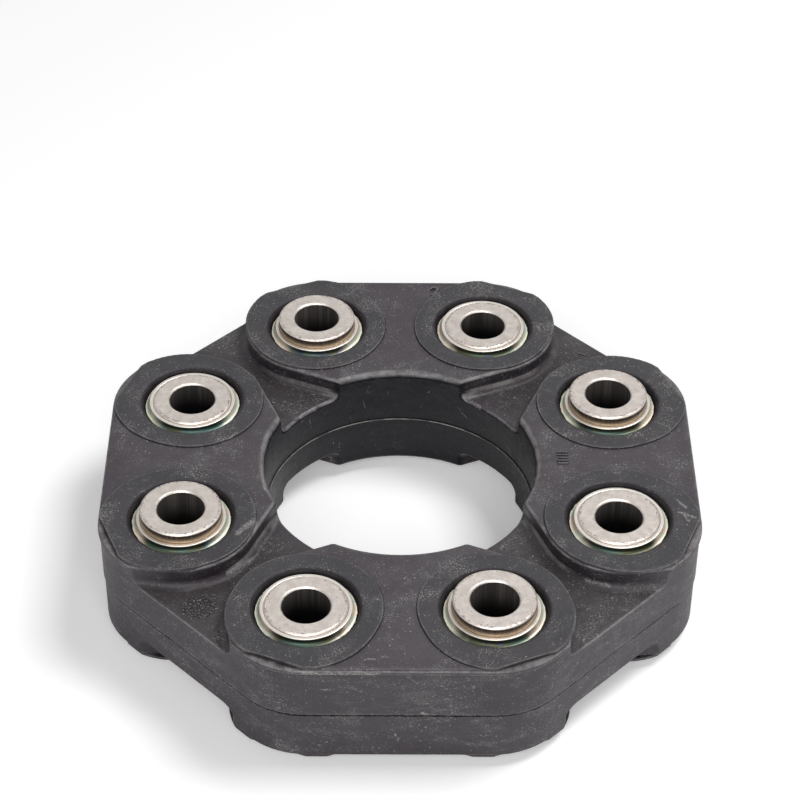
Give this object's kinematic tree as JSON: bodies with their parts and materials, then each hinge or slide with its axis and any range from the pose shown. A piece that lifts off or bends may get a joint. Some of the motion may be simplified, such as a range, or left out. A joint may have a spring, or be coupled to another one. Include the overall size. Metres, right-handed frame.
{
  "type": "driveshaft coupling",
  "caption": "Flexible disc coupling: thick octagonal rubber ring with raised pads, an open centre and staggered steel bolt sleeves, bolted between two shaft flanges.",
  "frame": {"origin": "centre of the coupling on the shaft axis, halfway between its two outermost sleeve ends", "axes": "+Z along the shaft axis, +X and +Y through the middle of two raised pads"},
  "size_m": [0.1532, 0.1532, 0.0376],
  "materials": {
    "rubber": "matt",
    "sleeve_steel": "satin",
    "collar_steel": "zinc plated and yellow passivated, semi-gloss",
    "spacer_steel": "plain",
    "cord": "matt"
  },
  "bodies": {
    "root": {"rubber_body": "rubber", "sleeve_1": "sleeve_steel", "sleeve_2": "sleeve_steel", "sleeve_3": "sleeve_steel", "sleeve_4": "sleeve_steel", "sleeve_5": "sleeve_steel", "sleeve_6": "sleeve_steel", "sleeve_7": "sleeve_steel", "sleeve_8": "sleeve_steel", "collar_upper_1": "collar_steel", "collar_upper_2": "collar_steel", "collar_upper_3": "collar_steel", "collar_upper_4": "collar_steel", "collar_upper_5": "collar_steel", "collar_upper_6": "collar_steel", "collar_upper_7": "collar_steel", "collar_upper_8": "collar_steel", "collar_lower_1": "collar_steel", "collar_lower_2": "collar_steel", "collar_lower_3": "collar_steel", "collar_lower_4": "collar_steel", "collar_lower_5": "collar_steel", "collar_lower_6": "collar_steel", "collar_lower_7": "collar_steel", "collar_lower_8": "collar_steel", "spacer_upper_1": "spacer_steel", "spacer_upper_2": "spacer_steel", "spacer_upper_3": "spacer_steel", "spacer_upper_4": "spacer_steel", "spacer_upper_5": "spacer_steel", "spacer_upper_6": "spacer_steel", "spacer_upper_7": "spacer_steel", "spacer_upper_8": "spacer_steel", "spacer_lower_1": "spacer_steel", "spacer_lower_2": "spacer_steel", "spacer_lower_3": "spacer_steel", "spacer_lower_4": "spacer_steel", "spacer_lower_5": "spacer_steel", "spacer_lower_6": "spacer_steel", "spacer_lower_7": "spacer_steel", "spacer_lower_8": "spacer_steel", "cord_upper_1": "cord", "cord_upper_2": "cord", "cord_upper_3": "cord", "cord_upper_4": "cord", "cord_middle_1": "cord", "cord_middle_2": "cord", "cord_middle_3": "cord", "cord_middle_4": "cord", "cord_lower_1": "cord", "cord_lower_2": "cord", "cord_lower_3": "cord", "cord_lower_4": "cord"}
  },
  "joints": []
}
